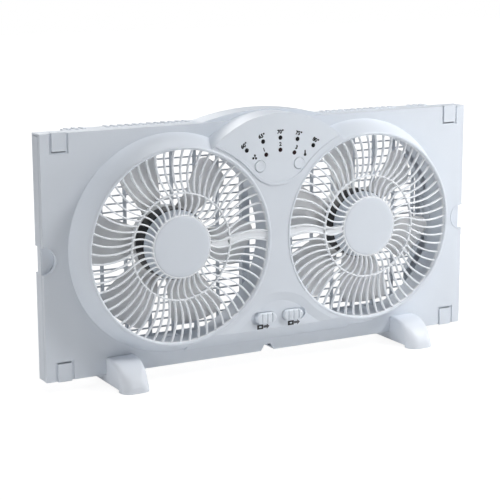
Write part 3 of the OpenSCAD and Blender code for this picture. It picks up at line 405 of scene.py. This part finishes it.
DISC_PROFILE = [
    (AXIS, 39.7), (36.9, 39.7), (37.0, GRILLE_FRONT - 0.1), (37.3, GRILLE_FRONT),
    (38.0, GRILLE_FRONT), (38.6, 40.2), (DISC_R, 39.6), (DISC_R, GRILLE_BACK),
    (AXIS, GRILLE_BACK)]
CAP_PROFILE = [
    (AXIS, 41.1), (20, 41.08), (32, 41.0), (35.4, 40.9), (36.3, 40.7), (36.8, 40.35),
    (36.9, 40.0), (36.9, 39.8), (AXIS, 39.8)]


def bowed_path(radii, degrees, bow, steps):
    """Points of an arc between two polar places and, at each, the direction across it.

    A positive bow lies to the left of the chord and a negative one to its right.
    """
    start, end = (polar(*place) for place in zip(radii, degrees))
    chord = end - start
    sign = 1 if bow > 0 else -1
    left = Vector((-chord.y, chord.x)).normalized() * sign
    sag = abs(bow)
    radius = (chord.length ** 2 / 4 + sag * sag) / (2 * sag)
    centre = (start + end) / 2 - left * (radius - sag)
    first, last = start - centre, end - centre
    turn = first.angle_signed(last)
    path = []
    for k in range(steps + 1):
        arm = first.copy()
        arm.rotate(Matrix.Rotation(-turn * k / steps, 2))
        path.append((centre + arm, arm.normalized() * sign))
    return path


def sweep(mesh, side, path, profile):
    """Sweeps a closed profile of (across, depth) along a flat path.

    The right grille mirrors the left one.
    """
    flip = -SIDES[side]
    loops = []
    for at, across in path:
        loops.append([fan_place(side, flip * (at.x + across.x * a), at.y + across.y * a, d)
                      for a, d in profile])
    loft(mesh, loops, capped=True)


def bar_profile(width):
    """A bar with a rounded front and a slimmer rounded back."""
    half = width / 2
    slim, front_round = half * BACK_SHARE, half * FRONT_ROUND_SHARE
    return round_corners([(-slim, GRILLE_BACK, BACK_ROUND), (-half, GRILLE_FRONT, front_round),
                          (half, GRILLE_FRONT, front_round), (slim, GRILLE_BACK, BACK_ROUND)])


def front_grille(side):
    """Two rows of bars that bow opposite ways, with a wire channel in one cell of each."""
    mesh = bmesh.new()

    def bar(course, turn, radii, steps, profile):
        start, end, bow = course
        path = bowed_path(radii, (turn + start, turn + end), bow, steps)
        sweep(mesh, side, path, profile)

    outer_end = LIP_R + LIP_BITE
    for i in range(OUTER_BARS):
        bar(OUTER_COURSE, 360 * i / OUTER_BARS, (MID_R, outer_end), 12, bar_profile(OUTER_BAR_W))
    for i in range(INNER_BARS):
        bar(INNER_COURSE, 360 * i / INNER_BARS, (DISC_R - DISC_BITE, MID_R), 7,
            bar_profile(INNER_BAR_W))
    # the wire channel lies midway between two bars of each row
    bar(OUTER_COURSE, -180 / OUTER_BARS, (MID_R - 2, outer_end), 20, CHANNEL_PROFILE)
    bar(INNER_COURSE, 180 / INNER_BARS, (DISC_R + 1.4, MID_R + 1), 12, CHANNEL_PROFILE)
    for profile in (MID_PROFILE, LIP_PROFILE, DISC_PROFILE):
        lathe(mesh, side, profile)
    make_piece(side + "_spiral_grille", mesh, "housing", grille_plastic_with_painted_light,
               (side + "_front_grille",))


def trim_cap(side):
    """Shallow crowned cap on the grille's disc."""
    mesh = bmesh.new()
    lathe(mesh, side, CAP_PROFILE)
    make_piece(side + "_trim_cap", mesh, "housing", shell_plastic,
               (side + "_grille_cap",))


# ---------------------------------------------------------------- rotors

BLADES = 6
FIRST_BLADE = {"left": 53, "right": 42}
HUB_FRONT, HUB_BACK, HUB_R, TIP_R, BORE_R = -2.6, -14.1, 44.0, 112.0, 3.06
# a blade's width in degrees, the share by which it is wider at the hub, its tip's rounding
BLADE_SPAN, BLADE_FLARE, BLADE_CORNER = 34.0, 0.18, 14.0
# the front edge rises over this length from the hub to its full depth
BLADE_CLEAR_R, BLADE_RISE_L, BLADE_REACH, ROOT_INSET = 46.0, 24, 10.0, 0.4
BLADE_CAMBER, BLADE_HALF_T, EDGE_SHARE, EDGE_POWER = 0.8, 0.95, 0.15, 0.6
BLADE_COLUMNS, BLADE_ROWS = 20, 30
# each rib behind the hub's face: half its width at front and back, its drop below the face, and
# the gap from its back edge to the hub's at each radius
RIB_FRONT_HALF, RIB_BACK_HALF, RIB_DROP = 0.7, 0.6, 1.6
RIB_GAPS = ((8.2, 1.2), (25, 1.2), (42, 2.5))

HUB_PROFILE = [
    (BORE_R, HUB_FRONT), (40.5, HUB_FRONT), (42.6, HUB_FRONT - 0.35), (43.6, HUB_FRONT - 1.1),
    (HUB_R, HUB_FRONT - 2.2), (HUB_R, HUB_BACK + 0.3), (HUB_R - 0.3, HUB_BACK),
    (41.9, HUB_BACK), (41.6, HUB_BACK + 0.3), (41.6, HUB_FRONT - 2.6), (40.9, HUB_FRONT - 2),
    (10, HUB_FRONT - 2), (9, HUB_FRONT - 3), (8.8, HUB_BACK + 0.3), (8.5, HUB_BACK),
    (BORE_R, HUB_BACK)]


def blade_half(radius):
    """Half of a blade's width in degrees, less what its rounded tip corner takes off."""
    over = max(0.0, radius - TIP_R + BLADE_CORNER)
    cut = BLADE_CORNER - math.sqrt(max(0.0, BLADE_CORNER ** 2 - over * over))
    flare = 1 + BLADE_FLARE * (TIP_R - radius) / (TIP_R - HUB_R)
    return BLADE_SPAN * flare / 2 - math.degrees(cut / radius)


def blade_front(radius):
    part = max(0.0, min(1.0, (radius - BLADE_CLEAR_R) / BLADE_RISE_L))
    root = HUB_FRONT - ROOT_INSET
    return root + math.sin(math.pi / 2 * part) * (BLADE_REACH - root)


def blade_point(side, turn, radius, u, face):
    """A point on a blade: u runs from its back edge to its front edge, face is 1 or -1."""
    back = HUB_BACK + ROOT_INSET
    rise = blade_front(radius) - back
    swell = math.sin(math.pi * u)
    camber = BLADE_CAMBER * swell * rise / (BLADE_REACH - back)
    thick = EDGE_SHARE + (1 - EDGE_SHARE) * swell ** EDGE_POWER
    depth = back + rise * u + camber + face * thick * BLADE_HALF_T
    at = polar(radius, turn + (2 * u - 1) * blade_half(radius))
    return fan_place(side, at.x, at.y, depth)


def rotor(side):
    mesh = bmesh.new()
    # the columns crowd at both edges of a blade, and the rows at its tip
    columns = [0.5 - 0.5 * math.cos(math.pi * k / BLADE_COLUMNS)
               for k in range(BLADE_COLUMNS + 1)]
    root_r = HUB_R - 2
    rows = [root_r + (TIP_R - root_r) * math.sin(math.pi / 2 * k / BLADE_ROWS)
            for k in range(BLADE_ROWS + 1)]
    for i in range(BLADES):
        turn = FIRST_BLADE[side] + 360 / BLADES * i
        loft(mesh, [[blade_point(side, turn, r, u, 1) for u in columns]
                    + [blade_point(side, turn, r, u, -1) for u in reversed(columns)]
                    for r in rows], capped=True)
    lathe(mesh, side, HUB_PROFILE)
    for i in range(BLADES):
        along, across = polar(1, 30 + 360 / BLADES * i), polar(1, 120 + 360 / BLADES * i)
        loops = []
        for r, gap in RIB_GAPS:
            high, low = HUB_FRONT - RIB_DROP, HUB_BACK + gap
            corners = [(-RIB_FRONT_HALF, high), (RIB_FRONT_HALF, high),
                       (RIB_BACK_HALF, low), (-RIB_BACK_HALF, low)]
            loops.append([fan_place(side, *(along * r + across * a), d) for a, d in corners])
        loft(mesh, loops, capped=True)
    make_piece(side + "_impeller", mesh, side + "_fan", blade_plastic_with_painted_light,
               (side + "_rotor",))


# ---------------------------------------------------------------- control pod

PANEL_FRONT = 42.6
# two arcs of lights: each arc's top, its radius and the degrees between its lights
LIGHT_X, LIGHT_TOP, LIGHT_ARC, LIGHT_STEP = 0.9, 288.2, 93.4, 15.0
SPEED_TOP, SPEED_ARC, SPEED_STEP = 273.3, 44.3, 26.5
BUTTON_X, BUTTON_Z, BUTTON_R = 27.4, 255.0, 6.9

LIGHT_PROFILE = [
    (AXIS, 43.45), (0.9, 43.4), (1.8, 43.2), (2.4, 42.9), (2.75, 42.63), (2.2, 42.6),
    (2.2, 30.7), (2.9, 30.7), (2.9, 29.6), (AXIS, 29.6)]
BUTTON_PROFILE = [
    (AXIS, 43.1), (3.2, 43.17), (5.4, 43.35), (6.1, 43.5), (6.5, 43.45), (6.8, 43.15),
    (BUTTON_R, 42.7), (BUTTON_R, 41.0), (8.6, 41.0), (8.6, 39.8), (2.5, 39.8), (2.5, 35.4),
    (AXIS, 35.4)]

TEMPERATURE_LIGHTS = [(LIGHT_TOP, LIGHT_ARC, LIGHT_STEP * i) for i in range(-2, 3)]
SPEED_LIGHTS = [(SPEED_TOP, SPEED_ARC, SPEED_STEP * i) for i in range(-1, 2)]


def on_arc(top, radius, degrees, out=0.0):
    """A place on an arc, or out from it, at some degrees from its top."""
    angle = math.radians(degrees)
    return (LIGHT_X + (radius + out) * math.sin(angle),
            top - radius + (radius + out) * math.cos(angle))


def lights(name, places, lens, node):
    """Domed lights, each on a collar that stands on the board."""
    mesh = bmesh.new()
    for place in places:
        turned(mesh, *on_arc(*place), LIGHT_PROFILE, steps=32)
    make_piece(name, mesh, "housing", lens, (node,))


def button(name, x, body, node):
    """Button with a shallow dish, its skirt under the panel and the stem that meets the key."""
    mesh = bmesh.new()
    turned(mesh, x, BUTTON_Z, BUTTON_PROFILE, steps=64)
    make_piece(name, mesh, body, panel_plastic, (node,))


# ---------------------------------------------------------------- airflow switches

SLOT_X, SWITCH_X, SWITCH_Z, ALCOVE_DEPTH = 22.0, 19.0, 64.1, 40.0
KNOB_L, KNOB_W, KNOB_FRONT, KNOB_BACK = 27.4, 13.6, 45.6, 37.9
KNOB_EDGE, KNOB_CROWN = 1.5, 0.9
GROOVES, GROOVE_HALF_W, GROOVE_DEEP, GROOVE_POWER = (-7.2, 0.0, 7.2), 1.3, 1.4, 0.6
# the grooves start this far from the knob's outline and are full after this length
GROOVE_START, GROOVE_FADE = 0.6, 0.8
# rows at each end, with their spacing as parts of a quarter turn, steps between, faces across
END_ROWS, QUARTER_PARTS, MIDDLE_STEPS, FACES_ACROSS = 8, 30, 46, 16
STEM, STEM_DEPTHS = [(-2.5, -2), (2.5, -2), (2.5, 2), (-2.5, 2)], (38.2, 35.2)


def knob_front(x, v):
    """Height and depth of the knob's face at x along it and at v, -1 to 1, across it."""
    half_w = KNOB_W / 2
    end = max(0.0, abs(x) - (KNOB_L / 2 - half_w))
    z = v * math.sqrt(max(0.0, half_w ** 2 - end ** 2))
    inside = half_w - math.hypot(end, z)
    fall = KNOB_EDGE - min(KNOB_EDGE, inside)
    edge = KNOB_EDGE - math.sqrt(max(0.0, KNOB_EDGE ** 2 - fall ** 2)) + KNOB_CROWN * v * v
    fade = min(1.0, max(0.0, (inside - GROOVE_START) / GROOVE_FADE))
    near = max(0.0, 1 - min(abs(x - groove) for groove in GROOVES) / GROOVE_HALF_W)
    return z, KNOB_FRONT - edge - GROOVE_DEEP * near ** GROOVE_POWER * fade


def switch_knob(side):
    """Slide knob: rounded ends and edges, and three grooves across its face."""
    mesh = bmesh.new()
    centre = SIDES[side] * SWITCH_X
    # the rows crowd at the knob's ends and are even over its grooves
    ends = [KNOB_L / 2 * math.sin(math.pi / 2 * (k / QUARTER_PARTS - 1)) for k in range(END_ROWS)]
    middle = [ends[-1] - 2 * ends[-1] * k / MIDDLE_STEPS for k in range(1, MIDDLE_STEPS)]
    across = [math.sin(math.pi / 2 * (2 * j / FACES_ACROSS - 1)) for j in range(FACES_ACROSS + 1)]
    grid = []
    for x in ends + middle + [-x for x in reversed(ends)]:
        face = [knob_front(x, v) for v in across]
        grid.append([mesh.verts.new(spot(centre + x, SWITCH_Z + z, depth)) for z, depth in face])
    for near, far in zip(grid, grid[1:]):
        for j in range(len(near) - 1):
            mesh.faces.new((near[j], near[j + 1], far[j + 1], far[j]))
    rim = [row[0] for row in grid] + [row[-1] for row in reversed(grid)]
    base = [mesh.verts.new((v.co.x, -KNOB_BACK * MM, v.co.z)) for v in rim]
    for i in range(len(rim)):
        j = (i + 1) % len(rim)
        mesh.faces.new((rim[i], rim[j], base[j], base[i]))
    mesh.faces.new(base)
    loft(mesh, [[spot(centre + x, SWITCH_Z + z, depth) for x, z in STEM]
                for depth in STEM_DEPTHS], capped=True)
    make_piece(side + "_slide_knob", mesh, side + "_airflow_switch", panel_plastic,
               (side + "_switch_knob",))


# ---------------------------------------------------------------- printed marks

PRINT_T = 0.04
BOLD_OUT, BOLD_TURNS = 0.38, (0, 1.05, 2.09, 3.14, 4.19, 5.24)
BOLD_STEPS = [(0, 0)] + [(BOLD_OUT * math.cos(a), BOLD_OUT * math.sin(a)) for a in BOLD_TURNS]
# each row of numbers: its size, its distance from the lights and how far it leans with them
TEMPERATURE_TEXT = (6.6, 7.0, 1.0)
SPEED_TEXT = (6.4, 6.8, 0.7)
TEMPERATURES = [f"{number}\u00b0" for number in range(60, 81, 5)]
WHEEL_X, WHEEL_Z = -BUTTON_X - 7.5, BUTTON_Z + 11.5
WHEEL_BLADE = ((0.7, -0.9), (2.6, -0.8), (3.7, -0.3), (3.8, 0.2), (2.8, 0.5), (0.7, 0.9))
STICK_X, STICK_Z = BUTTON_X + 8.5, BUTTON_Z + 12.0
STICK_TOP, BULB_R, BULB_DROP = ((0.9, 3.2), (0, 3.9), (-0.9, 3.2)), 1.9, 2.0
# the marks under each switch: left and right end and half height of block and window, then
# the arrow's middle, length, half height and the share of that which its shaft has
AIRFLOW_Z = SWITCH_Z - 11.2
BLOCK, WINDOW = (-8.6, 0.0, 2.9), (-5.8, -2.4, 1.0)
ARROW_X, ARROW_L, ARROW_HALF, SHAFT_SHARE = 4.6, 8.6, 3.4, 0.45


def print_text(mesh, text, size, x, z, degrees):
    """Print of a short text on the panel. Copies side by side make its strokes bold."""
    curve = bpy.data.curves.new("mark", "FONT")
    curve.body = text
    curve.size = size * MM
    curve.resolution_u = 3
    curve.align_x = "CENTER"
    curve.align_y = "CENTER"
    curve.extrude = PRINT_T / 2 * MM
    holder = bpy.data.objects.new("mark", curve)
    bpy.context.scene.collection.objects.link(holder)
    bpy.context.view_layer.update()
    graph = bpy.context.evaluated_depsgraph_get()
    flat = bpy.data.meshes.new_from_object(holder.evaluated_get(graph))
    flat.transform(Matrix.Rotation(math.radians(degrees), 4, "Y")
                   @ Matrix.Rotation(math.radians(90), 4, "X"))
    for across, up in BOLD_STEPS:
        copy = flat.copy()
        copy.transform(Matrix.Translation(spot(x + across, z + up, PANEL_FRONT)))
        mesh.from_mesh(copy)
        bpy.data.meshes.remove(copy)
    bpy.data.objects.remove(holder)
    bpy.data.curves.remove(curve)
    bpy.data.meshes.remove(flat)


def print_shape(mesh, outline, depth):
    """Print of an outline of (x, z) corners."""
    loft(mesh, [[spot(x, z, d) for x, z in outline] for d in (depth, depth + PRINT_T)],
         capped=True)


def block_arrow(x, z):
    """Outline of an arrow round x, z that points to the right."""
    tip, tail = x + ARROW_L / 2, x - ARROW_L / 2
    neck, shaft = tip - ARROW_L * SHAFT_SHARE, ARROW_HALF * SHAFT_SHARE
    return [(tip, z), (neck, z + ARROW_HALF), (neck, z + shaft), (tail, z + shaft),
            (tail, z - shaft), (neck, z - shaft), (neck, z - ARROW_HALF)]


def rectangle(x, z, left, right, half):
    return [(x + left, z - half), (x + right, z - half),
            (x + right, z + half), (x + left, z + half)]


def panel_marks():
    """Numbers over the lights, a wheel by the speed button, a thermometer by the other one."""
    mesh = bmesh.new()
    for texts, places, (size, out, lean) in ((TEMPERATURES, TEMPERATURE_LIGHTS, TEMPERATURE_TEXT),
                                             ("123", SPEED_LIGHTS, SPEED_TEXT)):
        for text, (top, radius, degrees) in zip(texts, places):
            print_text(mesh, text, size, *on_arc(top, radius, degrees, out), degrees * lean)
    for i in range(3):
        start = math.radians(90 + 120 * i)
        print_shape(mesh, [(WHEEL_X + r * math.cos(start + a), WHEEL_Z + r * math.sin(start + a))
                           for r, a in WHEEL_BLADE], PANEL_FRONT)
    turns = [math.radians(degrees) for degrees in range(-150, 151, 20)]
    bulb = [(STICK_X + BULB_R * math.sin(a), STICK_Z - BULB_DROP - BULB_R * math.cos(a))
            for a in turns]
    stick = [(STICK_X + across, STICK_Z + up) for across, up in STICK_TOP]
    print_shape(mesh, bulb + stick, PANEL_FRONT)
    make_piece("panel_marks", mesh, "housing", ink, smooth=False)


def airflow_marks():
    """Under each switch, a dark block round a pale window, and an arrow that leads from it."""
    dark, pale = bmesh.new(), bmesh.new()
    for x in (-SLOT_X, SLOT_X):
        block, window = rectangle(x, AIRFLOW_Z, *BLOCK), rectangle(x, AIRFLOW_Z, *WINDOW)
        outlines = [(block, 0), (block, PRINT_T), (window, PRINT_T), (window, 0)]
        loft(dark, [[spot(*corner, ALCOVE_DEPTH + high) for corner in outline]
                    for outline, high in outlines], closed=True)
        print_shape(pale, block_arrow(x + ARROW_X, AIRFLOW_Z), ALCOVE_DEPTH)
    make_piece("airflow_marks", dark, "housing", ink, smooth=False)
    make_piece("airflow_arrows", pale, "housing", grey_ink, smooth=False)


# ---------------------------------------------------------------- feet

FOOT_X, FOOT_HALF_W, FOOT_HALF_L, FOOT_TOP = 204.0, 18.5, 64.0, 34.0
NOSE_L, NOSE_POWER, NOSE_STEPS, TOE_UP = 42.0, 1.8, 30, 2.0
GRIP_Y, GRIP_Z, SOLE_Y, ARCH_Z = 12.1, 12.9, 48.5, 3.0
# rounding of the side edges at the sole, from the toe up to a share of the height, at the top
SOLE_ROUND, TOE_ROUND, CHEEK_ROUND = 12.0, 14.0, 3.0
TOE_SHARE, CHEEK_POWER, ROUND_STEPS = 0.4, 1.2, 8


def foot_profile():
    """The foot's outline over its nose, from the floor to the cheek's top edge.

    Each entry has its place, with y counted outwards, the inward normal and the rounding of the
    side edges.
    """
    places = [(FOOT_HALF_L, 0.0), (FOOT_HALF_L, TOE_UP / 2)]
    nose_y, rise = FOOT_HALF_L - NOSE_L, FOOT_TOP - TOE_UP
    for k in range(NOSE_STEPS + 1):
        a = math.pi / 2 * k / NOSE_STEPS
        places.append((FOOT_HALF_L - NOSE_L * (1 - math.cos(a) ** (2 / NOSE_POWER)),
                       TOE_UP + rise * math.sin(a) ** (2 / NOSE_POWER)))
    places += [(nose_y + (GRIP_Y - nose_y) * k / 3, FOOT_TOP) for k in (1, 2, 3)]
    line = []
    for i, (y, z) in enumerate(places):
        before, after = places[max(0, i - 1)], places[min(len(places) - 1, i + 1)]
        along = Vector((after[0] - before[0], after[1] - before[1])).normalized()
        height = z / FOOT_TOP
        low = SOLE_ROUND + (TOE_ROUND - SOLE_ROUND) * min(1.0, height / TOE_SHARE)
        part = max(0.0, (height - TOE_SHARE) / (1 - TOE_SHARE))
        spread = low + (CHEEK_ROUND - low) * part ** CHEEK_POWER
        line.append(((y, z), (-along.y, along.x), spread))
    return line


def foot(side):
    """Clip-on foot: rounded nose at both ends, a slot for the panel and an arch underneath."""
    mesh = bmesh.new()
    centre = SIDES[side] * FOOT_X

    def vert(x, y, z):
        return mesh.verts.new(((centre + x) * MM, y * MM, z * MM))

    turns = [math.pi / 2 * k / ROUND_STEPS for k in range(ROUND_STEPS + 1)]
    edges = {}
    for end in (-1, 1):
        strips = []
        for (y, z), (ny, nz), spread in foot_profile():
            section = [(-(FOOT_HALF_W - spread) - spread * math.sin(t), spread * (1 - math.cos(t)))
                       for t in reversed(turns)]
            section += [(-x, d) for x, d in reversed(section)]
            strips.append([vert(x, end * (y + ny * d), z + nz * d) for x, d in section])
        for near, far in zip(strips, strips[1:]):
            for j in range(len(near) - 1):
                mesh.faces.new((near[j], near[j + 1], far[j + 1], far[j]))
        for s in (-1, 1):
            x = s * FOOT_HALF_W
            sole = [vert(x, end * SOLE_Y, ARCH_Z), vert(x, end * SOLE_Y, 0)]
            nose = [strip[0 if s < 0 else -1] for strip in strips]
            edges[end, s] = sole + nose + [vert(x, end * GRIP_Y, GRIP_Z)]
        left, right = edges[end, -1], edges[end, 1]
        mesh.faces.new([right[-1], left[-1]] + strips[-1])
        mesh.faces.new([right[1], left[1]] + strips[0])
        mesh.faces.new((left[0], right[0], right[1], left[1]))
    for s in (-1, 1):
        # side wall: at each end a fan of faces round a spot over the toe, one face between them
        hubs = {}
        for end in (-1, 1):
            hubs[end] = vert(s * FOOT_HALF_W, end * (SOLE_Y + 1), ARCH_Z + 2)
            for a, b in zip(edges[end, s], edges[end, s][1:]):
                mesh.faces.new((a, b, hubs[end]))
        mesh.faces.new((edges[1, s][0], hubs[1], edges[1, s][-1],
                        edges[-1, s][-1], hubs[-1], edges[-1, s][0]))
    for level in (0, -1):
        corners = ((-1, -1), (-1, 1), (1, 1), (1, -1))
        mesh.faces.new([edges[corner][level] for corner in corners])
    bmesh.ops.triangulate(mesh, faces=[f for f in mesh.faces if len(f.verts) > 4])
    make_piece(side + "_rest", mesh, "housing", foot_plastic, (side + "_foot",))


for side in SIDES:
    front_grille(side)
    trim_cap(side)
    rotor(side)
    switch_knob(side)
    foot(side)
lights("temperature_lamps", TEMPERATURE_LIGHTS, lens_dark, "temperature_lights")
lights("speed_lamps", SPEED_LIGHTS, lens_red, "speed_lights")
button("speed_push", -BUTTON_X, "speed_key", "speed_button")
button("temperature_push", BUTTON_X, "temperature_key", "temperature_button")
panel_marks()
airflow_marks()
